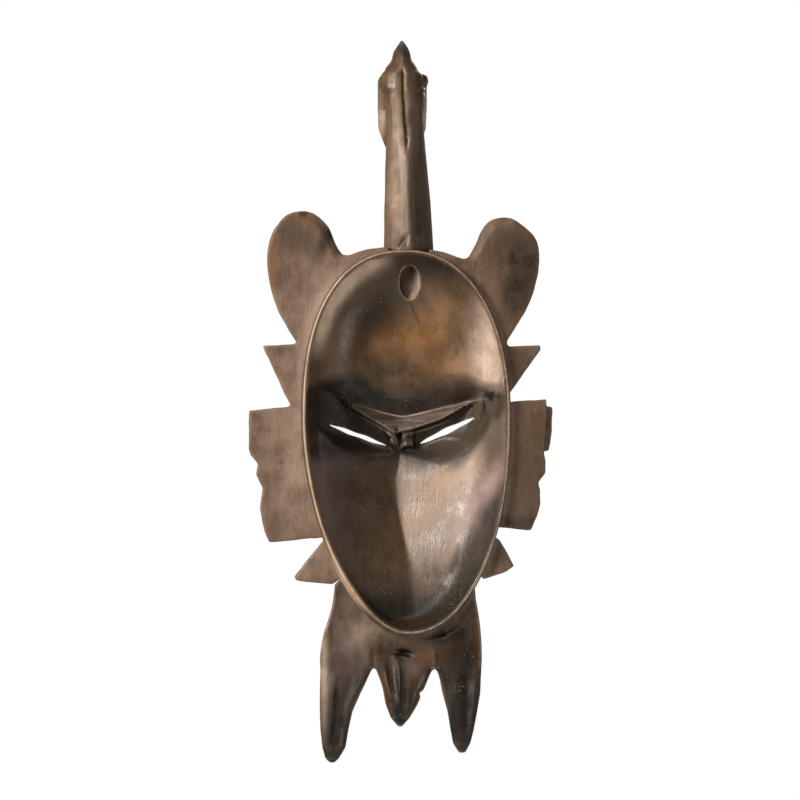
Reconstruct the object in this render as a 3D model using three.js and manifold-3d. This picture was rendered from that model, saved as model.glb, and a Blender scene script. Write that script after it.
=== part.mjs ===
import * as THREE from "three";
import { mergeVertices } from "three/addons/utils/BufferGeometryUtils.js";
import Module from "manifold-3d";

// A face mask carved in wood, with a hollow back, a flanged outline, two legs and a tail below the chin,
// and a hornbill crest on a tall neck above the forehead.
// X runs to the wearer's right, Y from the wall out through the face, Z up, all in millimetres.
// The origin is in the wall plane, at the middle of the rim's land at the top of the oval.

// Driving dimensions.
const oval = { halfWidth: 52.5, top: 1.2, waist: -84, bottom: -192.5 };
// How square each quarter of the oval is, where 2 is an ellipse.
const squareness = { upperRight: 2.2, upperLeft: 2.4, lowerLeft: 1.8, lowerRight: 2.1 };
const seam = 0.3;
const rim = { land: 2.4, depth: 9.7, innerEdge: 5 };
const border = { back: 12, front: 21.5, width: 5 };
const flange = { back: 4.5, front: 13.5 };
const dome = { edge: 17, rise: 29, chinRise: 19, cheeks: -100, chin: -175 };
const hollow = {
  forehead: 21,
  eyeBand: 32,
  bandTop: [-58, -72],
  bandBottom: [-95, -106],
  valleyTop: { x: -5, y: 31, z: -105 },
  valleyFoot: { x: 2, y: 17, z: -180 },
  valleyTurn: [-115, -165],
  cheekSlope: 0.28,
};
const recess = { x: 1.8, y: 15, z: -15.2, halfWidth: 5.4, depth: 9, halfHeight: 8.5 };
const yoke = { back: 4.5, front: 19, foot: -207.4 };
const sectors = 52;
// How far a carved feature's root lies under the face's front, and how far a cutter overshoots.
const rootDepth = 4;
const overshoot = 2;

const { lerp, smoothstep } = THREE.MathUtils;

// 0 above one height and 1 below another.
function below(z, [top, foot]) {
  return smoothstep(-z, -top, -foot);
}

const finishes = {
  hollowWood: { color: 0x6e5d4e, roughness: 0.5, metalness: 0 },
  rimWood: { color: 0x96805c, roughness: 0.45, metalness: 0 },
  faceWood: { color: 0x4a3a30, roughness: 0.4, metalness: 0 },
  flangeWood: { color: 0x806b5c, roughness: 0.55, metalness: 0 },
  crestWood: { color: 0x6a564a, roughness: 0.5, metalness: 0 },
  legWood: { color: 0x4b3a34, roughness: 0.45, metalness: 0 },
};

const wasm = await Module();
wasm.setup();

// A manifold-3d solid from a closed geometry.
function solidOf(geometry) {
  const bare = geometry.index ? geometry.toNonIndexed() : geometry.clone();
  bare.deleteAttribute("normal");
  bare.deleteAttribute("uv");
  const merged = mergeVertices(bare, 1e-4);
  const vertProperties = new Float32Array(merged.attributes.position.array);
  const triVerts = new Uint32Array(merged.index.array);
  return new wasm.Manifold(new wasm.Mesh({ numProp: 3, vertProperties, triVerts }));
}

function geometryOf(solid) {
  const { vertProperties, triVerts } = solid.getMesh();
  const geometry = new THREE.BufferGeometry();
  geometry.setAttribute("position", new THREE.BufferAttribute(vertProperties, 3));
  geometry.setIndex(new THREE.BufferAttribute(triVerts, 1));
  geometry.computeVertexNormals();
  return geometry;
}

function isInsideOut(points, index) {
  let volume = 0;
  for (let i = 0; i < index.length; i += 3) {
    const [a, b, c] = [points[index[i]], points[index[i + 1]], points[index[i + 2]]];
    volume += a.dot(b.clone().cross(c));
  }
  return volume < 0;
}

// A closed solid over a row of rings that have the same number of points. Each end is capped with a fan.
function skin(rings) {
  const count = rings[0].length;
  const points = rings.flat();
  const index = [];
  for (let r = 0; r + 1 < rings.length; r++)
    for (let i = 0; i < count; i++) {
      const a = r * count + i;
      const b = r * count + ((i + 1) % count);
      index.push(a, b, a + count, b, b + count, a + count);
    }
  for (const end of [0, rings.length - 1]) {
    const middle = new THREE.Vector3();
    for (const p of rings[end]) middle.addScaledVector(p, 1 / count);
    points.push(middle);
    for (let i = 0; i < count; i++) {
      const a = end * count + i;
      const b = end * count + ((i + 1) % count);
      index.push(...(end === 0 ? [b, a, points.length - 1] : [a, b, points.length - 1]));
    }
  }
  if (isInsideOut(points, index)) index.reverse();
  const geometry = new THREE.BufferGeometry().setFromPoints(points);
  geometry.setIndex(index);
  return solidOf(geometry);
}

// The oval of the face. A point of it is given by a turn from 0 to 1, anticlockwise from the +X side.
function squarenessAt(across, up) {
  if (up >= 0) return across >= 0 ? squareness.upperRight : squareness.upperLeft;
  return across >= 0 ? squareness.lowerRight : squareness.lowerLeft;
}

function halfHeightAt(up) {
  return up >= 0 ? oval.top - oval.waist : oval.waist - oval.bottom;
}

// How far the oval reaches from its centre in one direction, drawn in from its edge by inset.
function ovalReach(across, up, inset) {
  const n = squarenessAt(across, up);
  const a = Math.abs(across) / (oval.halfWidth - inset);
  const b = Math.abs(up) / (halfHeightAt(up) - inset);
  return (a ** n + b ** n) ** (-1 / n);
}

function ovalDirection(turn) {
  const angle = turn * 2 * Math.PI;
  const up = Math.sin(angle) * halfHeightAt(Math.sin(angle));
  return new THREE.Vector2(Math.cos(angle) * oval.halfWidth, up).normalize();
}

// A ring of points at the oval's edge, drawn in by inset and then scaled about the oval's centre.
function ovalRing(inset, scale, yAt) {
  const ring = [];
  for (let i = 0; i < sectors; i++) {
    const { x: across, y: up } = ovalDirection(i / sectors);
    const reach = scale * ovalReach(across, up, inset);
    const x = across * reach;
    const z = oval.waist + up * reach;
    ring.push(new THREE.Vector3(x, yAt(x, z), z));
  }
  return ring;
}

// 0 at the centre of the oval and 1 at its edge.
function ovalLevel(x, z, inset) {
  const up = z - oval.waist;
  const away = Math.hypot(x, up);
  return away === 0 ? 0 : Math.min(1, away / ovalReach(x / away, up / away, inset));
}

// The convex front of the face.
function frontY(x, z) {
  const rise = lerp(dome.rise, dome.chinRise, below(z, [dome.cheeks, dome.chin]));
  return dome.edge + rise * (1 - ovalLevel(x, z, border.width) ** 3) ** 0.6;
}

// The hollow back: a bowl behind the forehead, a deeper band behind the eyes, and a V behind the nose.
function hollowY(x, z) {
  const { valleyTop, valleyFoot } = hollow;
  const wall = 1 - ovalLevel(x, z, rim.innerEdge) ** 4;
  const valleyX = lerp(valleyTop.x, valleyFoot.x, below(z, hollow.valleyTurn));
  const valleyY = lerp(valleyTop.y, valleyFoot.y, below(z, [valleyTop.z, valleyFoot.z]));
  const cheek = valleyY - hollow.cheekSlope * Math.abs(x - valleyX);
  const brow = lerp(hollow.forehead, hollow.eyeBand, below(z, hollow.bandTop));
  const floor = lerp(brow, cheek, below(z, hollow.bandBottom));
  return rim.depth + seam + (floor - rim.depth) * wall;
}

const ringScales = [0.06, 0.2, 0.34, 0.46, 0.57, 0.67, 0.76, 0.84, 0.91, 0.96, 1];

// A solid under the face's front, down to a back surface that yAt gives.
function faceBody(backAt, forward) {
  const front = (x, z) => frontY(x, z) + forward;
  const scales = [...ringScales].reverse();
  return skin([
    ...ringScales.map((scale) => ovalRing(rim.innerEdge, scale, backAt)),
    ovalRing(0, 1, () => backAt(oval.halfWidth, oval.waist)),
    ovalRing(0, 1, front),
    ...scales.map((scale) => ovalRing(rim.innerEdge, scale, front)),
  ]);
}

// A prism along Y over an outline of [x, z] points.
function prism(shape, back, front, curveSegments = 6) {
  const geometry = new THREE.ExtrudeGeometry(shape, {
    depth: front - back,
    bevelEnabled: false,
    curveSegments,
  });
  geometry.rotateX(Math.PI / 2);
  geometry.translate(0, front, 0);
  return solidOf(geometry);
}

function outline(points) {
  return new THREE.Shape(points.map(([x, z]) => new THREE.Vector2(x, z)));
}

function ovalPrism(inset, back, front) {
  const ring = ovalRing(inset, 1, () => 0);
  return prism(outline(ring.map(({ x, z }) => [x, z])), back, front);
}

const mask = new THREE.Group();

function add(name, solid, finish) {
  const material = new THREE.MeshStandardMaterial(finishes[finish]);
  const mesh = new THREE.Mesh(geometryOf(solid), material);
  mesh.name = name;
  mask.add(mesh);
}

// Everything outside the oval is cut back to the first, and everything on the face to the second.
const behind = -20;
const roomForFace = ovalPrism(-seam, behind, 90);
const roomForFront = faceBody(() => behind, seam);

// The oval body of the mask: its hollow shell, the rim that lies on the wall, and the front border.
const slits = [
  { name: "left", from: [-38.5, -86.5], to: [-10, -97], bow: 1.1 },
  { name: "right", from: [34.5, -83], to: [7, -96], bow: 1.4 },
];

const slitCut = { back: 10, front: 60 };

// A lens between two points, bowed by the same amount above and below.
function lensShape(from, to, bow) {
  const shape = new THREE.Shape();
  const middleX = (from[0] + to[0]) / 2;
  const middleZ = (from[1] + to[1]) / 2;
  shape.moveTo(...from);
  shape.quadraticCurveTo(middleX, middleZ + 2 * bow, ...to);
  shape.quadraticCurveTo(middleX, middleZ - 2 * bow, ...from);
  return shape;
}

function makeFaceShell() {
  let shell = faceBody(hollowY, 0);
  for (const { from, to, bow } of slits)
    shell = shell.subtract(prism(lensShape(from, to, bow), slitCut.back, slitCut.front, 5));
  const gouge = new THREE.SphereGeometry(1, 14, 10);
  gouge.scale(recess.halfWidth, recess.depth, recess.halfHeight);
  gouge.translate(recess.x, recess.y, recess.z);
  return shell.subtract(solidOf(gouge));
}

function makeRim() {
  const outside = ovalPrism(0, 0, rim.depth);
  const past = ((rim.innerEdge - rim.land) / rim.depth) * overshoot;
  const inside = skin([
    ovalRing(rim.land - past, 1, () => -overshoot),
    ovalRing(rim.innerEdge + past, 1, () => rim.depth + overshoot),
  ]);
  return outside.subtract(inside);
}

function makeBorder() {
  const band = ovalPrism(0, border.back, border.front);
  const opening = ovalPrism(border.width, border.back - overshoot, border.front + overshoot);
  return band.subtract(opening).subtract(roomForFront);
}

add("face_shell", makeFaceShell(), "hollowWood");
add("back_rim", makeRim(), "rimWood");
add("face_border", makeBorder(), "faceWood");

// A raised stroke along a curve on the face's front, tapered towards both ends.
const strokeSection = [[-1, -1], [-1, 0.25], [-0.6, 0.85], [0, 1], [0.6, 0.85], [1, 0.25], [1, -1]];

function stroke({ through, halfWidth, height, ends = 0.35, steps = 8 }) {
  const knots = through.map(([x, z]) => new THREE.Vector3(x, 0, z));
  const curve = new THREE.CatmullRomCurve3(knots);
  const rings = [];
  for (let i = 0; i <= steps; i++) {
    const t = i / steps;
    const swell = ends + (1 - ends) * Math.sin(Math.PI * t) ** 0.7;
    const middle = curve.getPoint(t);
    const along = curve.getTangent(t);
    const side = new THREE.Vector3(-along.z, 0, along.x);
    rings.push(
      strokeSection.map(([across, out]) => {
        const p = middle.clone().addScaledVector(side, across * halfWidth * swell);
        p.y = frontY(p.x, p.z) + (out < 0 ? -rootDepth : out * height * swell);
        return p;
      }),
    );
  }
  return skin(rings).subtract(roomForFront);
}

// The face, the same on both sides: side is -1 on the left and 1 on the right.
const sides = { left: -1, right: 1 };
const eyelids = { clear: 2.4, endShare: 0.7, arch: 1, halfWidth: 1.9, upperHeight: 4, lowerHeight: 2.6 };
const brows = { through: [[8, -78], [15, -67], [27, -62], [41, -70]], halfWidth: 2.6, height: 5 };
const lips = { halfLength: 10, bend: 1, halfWidth: 2.7, height: 11, upperZ: -147, lowerZ: -154 };
const cheekBars = { levels: [-112, -119, -126], halfWidth: 1.5, height: 2 };
const lozenge = { through: [[0, -26], [0, -38], [0, -50]], halfWidth: 7, height: 3 };

// An eyelid over or under a slit: above is 1 or -1.
function eyelid({ from, to, bow }, above) {
  const clear = bow + eyelids.clear;
  const endUp = above * clear * eyelids.endShare;
  const middleX = (from[0] + to[0]) / 2;
  const middleZ = (from[1] + to[1]) / 2 + above * (clear + eyelids.arch);
  return stroke({
    through: [[from[0], from[1] + endUp], [middleX, middleZ], [to[0], to[1] + endUp]],
    halfWidth: eyelids.halfWidth,
    height: above > 0 ? eyelids.upperHeight : eyelids.lowerHeight,
    steps: 6,
  });
}

for (const eye of slits) {
  add(`${eye.name}_upper_eyelid`, eyelid(eye, 1), "faceWood");
  add(`${eye.name}_lower_eyelid`, eyelid(eye, -1), "faceWood");
}

function makeBrow(side) {
  const through = brows.through.map(([x, z]) => [side * x, z]);
  return stroke({ through, halfWidth: brows.halfWidth, height: brows.height, steps: 7 });
}

// The long straight nose: rows of [z, half width, height above the face].
const noseRows = [
  [-68, 2.4, 1.5],
  [-80, 3, 6],
  [-100, 3.8, 11],
  [-118, 5, 15],
  [-126, 6.6, 15],
  [-130, 5.4, 9],
];
const noseSection = [[-1, -1], [-1, 0.1], [-0.45, 0.85], [0, 1], [0.45, 0.85], [1, 0.1], [1, -1]];

function makeNose() {
  const rings = noseRows.map(([z, halfWidth, height]) =>
    noseSection.map(([across, out]) => {
      const x = across * halfWidth;
      return new THREE.Vector3(x, frontY(x, z) + (out < 0 ? -rootDepth : out * height), z);
    }),
  );
  return skin(rings).subtract(roomForFront);
}

function makeLip(z, bend) {
  const through = [[-lips.halfLength, z - bend], [0, z + bend], [lips.halfLength, z - bend]];
  return stroke({ through, halfWidth: lips.halfWidth, height: lips.height, ends: 0.5, steps: 6 });
}

function makeCheekBar(side, z) {
  const through = [[side * 24, z], [side * 30, z + 1], [side * 36, z + 3]];
  return stroke({ through, halfWidth: cheekBars.halfWidth, height: cheekBars.height, ends: 0.6, steps: 3 });
}

for (const [name, side] of Object.entries(sides)) {
  add(`${name}_brow`, makeBrow(side), "faceWood");
  cheekBars.levels.forEach((z, i) =>
    add(`${name}_cheek_bar_${i + 1}`, makeCheekBar(side, z), "faceWood"),
  );
}
add("nose", makeNose(), "faceWood");
add("upper_lip", makeLip(lips.upperZ, lips.bend), "faceWood");
add("lower_lip", makeLip(lips.lowerZ, -lips.bend), "faceWood");
add("forehead_lozenge", stroke({ ...lozenge, ends: 0.08, steps: 4 }), "faceWood");

// The flanges round the oval. Each is a flat plate that starts inside the oval and is cut back to it.
// A smooth outline runs through its points, and a plain one has corners.
const flangeOutlines = {
  left_lobe: {
    smooth: [
      [-11.4, 2.6], [-20.5, 1], [-31, -2], [-35.5, 4.5], [-39.5, 13], [-46, 19], [-53, 20.5],
      [-60.5, 18], [-66.5, 10], [-69, 1], [-69, -8], [-67, -20], [-62.5, -32], [-55, -44.6],
    ],
    inside: [[-55, -45.9], [-40, -45.5], [-30, -30], [-11.4, -8]],
  },
  right_lobe: {
    smooth: [
      [14.4, 1.6], [26.5, -3], [31, -3], [35, 4], [39.5, 13], [44.5, 16.5], [52, 17],
      [58.5, 13], [64.5, 7], [66.5, 0], [66, -10], [63, -22], [57.5, -33], [50.6, -44],
    ],
    inside: [[50.6, -47.1], [40, -46.9], [30, -30], [14.4, -8]],
  },
  left_upper_spike: {
    corners: [[-40, -45.8], [-55, -46.2], [-71.5, -47], [-60.5, -71], [-57, -76.9], [-45, -76.9]],
  },
  right_upper_spike: {
    corners: [
      [40, -47.2], [50.6, -47.4], [67, -46.8], [67, -49], [53.1, -71.6], [52.6, -74.3], [45, -74.3],
    ],
  },
  left_side_panel: {
    corners: [
      [-45, -77.2], [-57, -77.5], [-78.5, -79.5], [-78.5, -98], [-77.5, -101.5], [-74, -106],
      [-75, -111], [-71.5, -118], [-73, -128], [-70.5, -140], [-68.5, -145], [-38, -144.6],
    ],
  },
  right_side_panel: {
    corners: [
      [45, -74.6], [53.5, -74.9], [70.3, -73.9], [69, -100.3], [69.5, -105], [69.5, -110.5],
      [66, -115.5], [67, -119], [67, -126.5], [65, -133], [62.5, -139], [38, -139.6],
    ],
  },
  left_lower_spike: {
    corners: [
      [-36, -145.2], [-42, -145.4], [-44, -147.8], [-56, -162.8], [-54.8, -164.2], [-37, -166], [-30, -164],
    ],
  },
  right_lower_spike: {
    corners: [[38, -143.8], [46.5, -144], [54, -157], [49.5, -160], [39, -163.5], [30, -162]],
  },
};

const lobeSteps = 30;

function makeFlange({ smooth, inside = [], corners }) {
  let points = corners;
  if (smooth) {
    const curve = new THREE.SplineCurve(smooth.map(([x, z]) => new THREE.Vector2(x, z)));
    points = [...curve.getPoints(lobeSteps).map(({ x, y }) => [x, y]), ...inside];
  }
  return prism(outline(points), flange.back, flange.front).subtract(roomForFace);
}

for (const [name, shape] of Object.entries(flangeOutlines))
  add(name, makeFlange(shape), "flangeWood");

// A thin layer that stands past the right panel's edge, on its front.
const panelStep = {
  corners: [[60, -77], [73.2, -77.3], [72.8, -90], [71.5, -99.5], [60, -100.5]],
  back: flange.front + seam,
  front: flange.front + 3,
};
add(
  "right_panel_step",
  prism(outline(panelStep.corners), panelStep.back, panelStep.front),
  "flangeWood",
);

// A limb that stands up and down, rounded in section: rows of [z, left x, right x, back y, front y].
const limbSquareness = 0.8;

function rounded(value) {
  return Math.sign(value) * Math.abs(value) ** limbSquareness;
}

function limb(rows, points = 14) {
  const rings = rows.map(([z, left, right, back, front]) => {
    const ring = [];
    for (let i = 0; i < points; i++) {
      const angle = (2 * Math.PI * i) / points;
      const x = (left + right) / 2 + (rounded(Math.cos(angle)) * (right - left)) / 2;
      const y = (back + front) / 2 + (rounded(Math.sin(angle)) * (front - back)) / 2;
      ring.push(new THREE.Vector3(x, y, z));
    }
    return ring;
  });
  return skin(rings);
}

// Below the chin: a yoke that carries two legs and a short tail between them.
function makeYoke() {
  const shape = new THREE.Shape();
  shape.moveTo(-35.5, -166.6);
  shape.quadraticCurveTo(-36, -178, -40.5, -189);
  shape.quadraticCurveTo(-43, -198, -43, yoke.foot);
  shape.lineTo(37.8, yoke.foot);
  shape.quadraticCurveTo(38.2, -190, 34.8, -174);
  shape.lineTo(35.5, -164.2);
  shape.lineTo(0, -150);
  return prism(shape, yoke.back, yoke.front).subtract(roomForFace);
}

const legTop = yoke.foot - seam;
add("leg_yoke", makeYoke(), "legWood");
add(
  "left_leg",
  limb([
    [legTop, -43, -16.4, 4.5, 19],
    [-214, -43, -19.5, 4.5, 19],
    [-221, -43, -23, 4.5, 19],
    [-230, -43, -27, 5, 18.5],
    [-239, -42.7, -29, 5.5, 18],
    [-248, -41.7, -30.5, 6.5, 17],
    [-253.5, -40.2, -33.8, 8.5, 15],
    [-255.5, -38, -36, 10.5, 13],
  ]),
  "legWood",
);
add(
  "right_leg",
  limb([
    [legTop, 14.8, 37.8, 4.5, 19],
    [-213, 16.8, 37.5, 4.5, 19],
    [-221, 18.5, 37, 4.5, 19],
    [-230, 21, 35.5, 5, 18.5],
    [-239, 22.5, 33.8, 5.5, 18],
    [-246, 23.8, 32, 7.5, 16],
    [-250.5, 26.6, 29.6, 10.5, 13],
  ]),
  "legWood",
);
add(
  "tail_tab",
  limb([
    [legTop, -15.8, 14.2, 5, 18.5],
    [-212, -13.8, 11.8, 5, 18.5],
    [-218, -11.6, 9.2, 5, 18.5],
    [-226.5, -10, 5.6, 6, 17.5],
    [-233, -7.5, 1.8, 8, 15.5],
    [-237.5, -3.8, -2.2, 10.5, 13],
  ]),
  "legWood",
);

// The crest: a tall neck, a bird's head with two eye bosses, a pointed casque, and a beak that hangs
// down in front of the neck.
const neckTop = 77.7;
const headTop = 93;
add(
  "crest_neck",
  limb([
    [-4, -11.5, 14.5, 3.5, 28],
    [4, -11, 13.5, 4.5, 27],
    [26, -10.5, 12, 5, 25.5],
    [43, -10.2, 10.4, 5.5, 25],
    [60, -9.6, 8.8, 6, 24.5],
    [70, -10, 8.8, 6, 25],
    [neckTop, -10.8, 9.4, 6, 26],
  ]).subtract(roomForFace),
  "crestWood",
);
add(
  "crest_head",
  limb([
    [neckTop + seam, -10.8, 9.5, 6, 29],
    [81.6, -11, 9, 6, 31],
    [82.1, -11, 6.6, 6, 31],
    [90, -11, 6.4, 8, 32],
    [headTop, -9.8, 5.4, 10, 29.5],
  ]),
  "crestWood",
);
add(
  "crest_casque",
  limb([
    [headTop + seam, -9.6, 5.2, 10.2, 29.3],
    [95, -8, 3.8, 11, 28.5],
    [96.5, -6.8, 2.5, 11.5, 28],
    [98.5, -6.4, 2.2, 12.5, 27],
    [100.5, -5.9, 1.7, 13.5, 26],
    [102.5, -4.7, 0.8, 15, 24.5],
    [104.5, -3.4, -0.5, 16.5, 23],
    [106.2, -2.4, -1.7, 18.5, 21],
  ], 12),
  "crestWood",
);

// A round eye boss that stands out from the side of the bird's head, towards -X where out is negative.
const bossProfile = [[0, 0], [1, 0], [1, 0.35], [0.7, 0.85], [0, 1]];
const bossY = 20;

function makeBoss(x, z, radius, out) {
  const points = bossProfile.map(([r, t]) => new THREE.Vector2(r * radius, t * Math.abs(out)));
  const boss = new THREE.LatheGeometry(points, 14);
  boss.rotateZ(out > 0 ? -Math.PI / 2 : Math.PI / 2);
  boss.translate(x, bossY, z);
  return solidOf(boss);
}

add("left_eye_boss", makeBoss(-11.3, 85.6, 3.2, -2.5), "crestWood");
add("right_eye_boss", makeBoss(6.9, 86, 3.7, 4.3), "crestWood");

// The beak: rows of [y, z, half width, half thickness] along its bend, which lies in a plane of its own.
const beak = {
  middleX: -1.9,
  points: 14,
  rows: [
    [32.6, 86, 11, 5],
    [40, 86.5, 12.4, 6],
    [48, 82, 12.4, 6.5],
    [52, 73, 12.4, 6.5],
    [50, 63, 12, 6],
    [44, 55, 9, 5],
    [36, 49.5, 5.5, 3.6],
    [29.5, 46.5, 2.2, 1.6],
  ],
};

function makeBeak() {
  const path = beak.rows.map(([y, z]) => new THREE.Vector2(y, z));
  const rings = beak.rows.map(([y, z, halfWidth, halfThickness], k) => {
    const before = path[Math.max(k - 1, 0)];
    const after = path[Math.min(k + 1, path.length - 1)];
    const along = k === 0 ? new THREE.Vector2(1, 0) : after.clone().sub(before).normalize();
    const ring = [];
    for (let i = 0; i < beak.points; i++) {
      const angle = (2 * Math.PI * i) / beak.points;
      const x = beak.middleX + Math.cos(angle) * halfWidth;
      const out = Math.sin(angle) * halfThickness;
      ring.push(new THREE.Vector3(x, y - along.y * out, z + along.x * out));
    }
    return ring;
  });
  return skin(rings);
}

add("beak", makeBeak(), "crestWood");

export default mask;
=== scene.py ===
from itertools import product
from math import pi, radians

import bpy
import numpy as np
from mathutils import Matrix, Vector


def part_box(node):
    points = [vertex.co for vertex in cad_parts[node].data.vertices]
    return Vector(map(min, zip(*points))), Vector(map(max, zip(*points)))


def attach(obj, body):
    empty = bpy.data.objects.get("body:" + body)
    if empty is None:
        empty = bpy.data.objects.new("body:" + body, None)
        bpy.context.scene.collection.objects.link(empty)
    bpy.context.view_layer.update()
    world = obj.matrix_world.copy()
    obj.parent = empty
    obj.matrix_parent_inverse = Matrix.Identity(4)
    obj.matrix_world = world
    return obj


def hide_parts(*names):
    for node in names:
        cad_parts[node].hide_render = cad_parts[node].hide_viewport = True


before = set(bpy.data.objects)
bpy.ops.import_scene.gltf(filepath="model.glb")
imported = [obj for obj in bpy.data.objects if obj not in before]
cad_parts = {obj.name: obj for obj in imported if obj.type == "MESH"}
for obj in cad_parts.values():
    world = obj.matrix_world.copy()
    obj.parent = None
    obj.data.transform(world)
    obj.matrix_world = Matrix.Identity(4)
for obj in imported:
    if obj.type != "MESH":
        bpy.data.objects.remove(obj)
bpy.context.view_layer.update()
bpy.ops.object.select_all(action="DESELECT")
bpy.context.preferences.edit.use_global_undo = False

# Shapes are worked out in millimetres: x to the wearer's right, y out of the wall, z up.


def boxOf(node):
    low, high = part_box(node)
    return np.array(low) * 1000, np.array(high) * 1000


def pickOnly(piece):
    bpy.ops.object.select_all(action="DESELECT")
    piece.select_set(True)
    bpy.context.view_layer.objects.active = piece


def readPoints(piece):
    flat = np.empty(len(piece.data.vertices) * 3, np.float32)
    piece.data.vertices.foreach_get("co", flat)
    return flat.reshape(-1, 3).astype(float) * 1000


def writePoints(piece, points):
    piece.data.vertices.foreach_set("co", (points / 1000).astype(np.float32).ravel())
    piece.data.update()


def readNormals(piece):
    flat = np.empty(len(piece.data.vertices) * 3, np.float32)
    piece.data.vertices.foreach_get("normal", flat)
    return flat.reshape(-1, 3).astype(float)


def ease(start, end, value):
    t = np.clip((value - start) / (end - start), 0, 1)
    return t * t * (3 - 2 * t)


def mix(a, b, t):
    return a + (b - a) * t


def softMin(a, b, roundness):
    return np.minimum(a, b) - roundness * np.log1p(np.exp(-np.abs(a - b) / roundness))


def alongLine(x, line):
    line = sorted(line)
    return np.interp(x, [p[0] for p in line], [p[1] for p in line])


def softLine(x, line, soft):
    # the same, with its corners rounded
    steps = (-1, -0.66, -0.33, 0, 0.33, 0.66, 1)
    return np.mean([alongLine(x + soft * step, line) for step in steps], axis=0)


def lumps(points, size, seed):
    # smooth random heights from -1 to 1, with a lattice of the given size in millimetres
    lattice = np.random.default_rng(seed).uniform(-1, 1, (24, 24, 24))
    scaled = points / np.array(size, float)
    cell = np.floor(scaled).astype(int)
    t = scaled - cell
    t = t * t * (3 - 2 * t)
    total = np.zeros(len(points))
    for corner in product((0, 1), repeat=3):
        share = np.prod(np.where(corner, t, 1 - t), axis=1)
        i = (cell + corner) % 24
        total += share * lattice[i[:, 0], i[:, 1], i[:, 2]]
    return total


def patch(points, x, z, wide, tall, lean=0):
    # a soft oval spot seen from the back: 1 in its middle, 0 well outside
    across, up = points[:, 0] - x, points[:, 2] - z
    turn = radians(lean)
    a = (across * np.cos(turn) + up * np.sin(turn)) / wide
    b = (up * np.cos(turn) - across * np.sin(turn)) / tall
    return np.exp(-(a * a + b * b))


def awayFromPath(points, path):
    # the distance in the x-z plane from a bent line, and how far along it
    best = np.full(len(points), 1e9)
    part = np.zeros(len(points))
    path = np.array(path, float)
    lengths = np.hypot(*np.diff(path, axis=0).T)
    total, done = lengths.sum(), 0
    for start, end, length in zip(path[:-1], path[1:], lengths):
        step = (end - start) / length
        rel = points[:, [0, 2]] - start
        run = np.clip(rel @ step, 0, length)
        gap = np.hypot(*(rel - run[:, None] * step).T)
        near = gap < best
        part[near] = (done + run[near]) / total
        best = np.minimum(best, gap)
        done += length
    return best, part


def curved(knots, count=24):
    # a Catmull-Rom curve through knots
    knots = np.array(knots, float)
    ends = np.vstack([2 * knots[0] - knots[1], knots, 2 * knots[-1] - knots[-2]])
    made = []
    for t in np.linspace(0, len(knots) - 1, count):
        i = min(int(t), len(knots) - 2)
        u = t - i
        a, b, c, d = ends[i:i + 4]
        made.append(0.5 * (
            2 * b + (c - a) * u + (2 * a - 5 * b + 4 * c - d) * u * u
            + (3 * b - a - 3 * c + d) * u ** 3
        ))
    return np.array(made)


# The oval of the face.
rimLow, rimHigh = boxOf("back_rim")
oval = {
    "halfWidth": rimHigh[0],
    "top": rimHigh[2],
    "bottom": rimLow[2],
    "waist": -84,
    "squareness": {"upperRight": 2.2, "upperLeft": 2.4, "lowerLeft": 1.8, "lowerRight": 2.1},
}


def halfHeight(up):
    return np.where(up >= 0, oval["top"] - oval["waist"], oval["waist"] - oval["bottom"])


def ovalReach(across, up, inset):
    corner = oval["squareness"]
    n = np.where(
        up >= 0,
        np.where(across >= 0, corner["upperRight"], corner["upperLeft"]),
        np.where(across >= 0, corner["lowerRight"], corner["lowerLeft"]),
    )
    a = np.abs(across) / (oval["halfWidth"] - inset)
    b = np.abs(up) / (halfHeight(up) - inset)
    return np.maximum(a ** n + b ** n, 1e-300) ** (-1 / n)


def polar(x, z):
    # the direction from the oval's middle, and how far out
    up = z - oval["waist"]
    away = np.maximum(np.hypot(x, up), 1e-6)
    return x / away, up / away, away


def outsideOval(x, z):
    across, up, away = polar(x, z)
    return away - ovalReach(across, up, 0)


def ovalLevel(x, z, inset):
    across, up, away = polar(x, z)
    return np.minimum(away / ovalReach(across, up, inset), 1)


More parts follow.
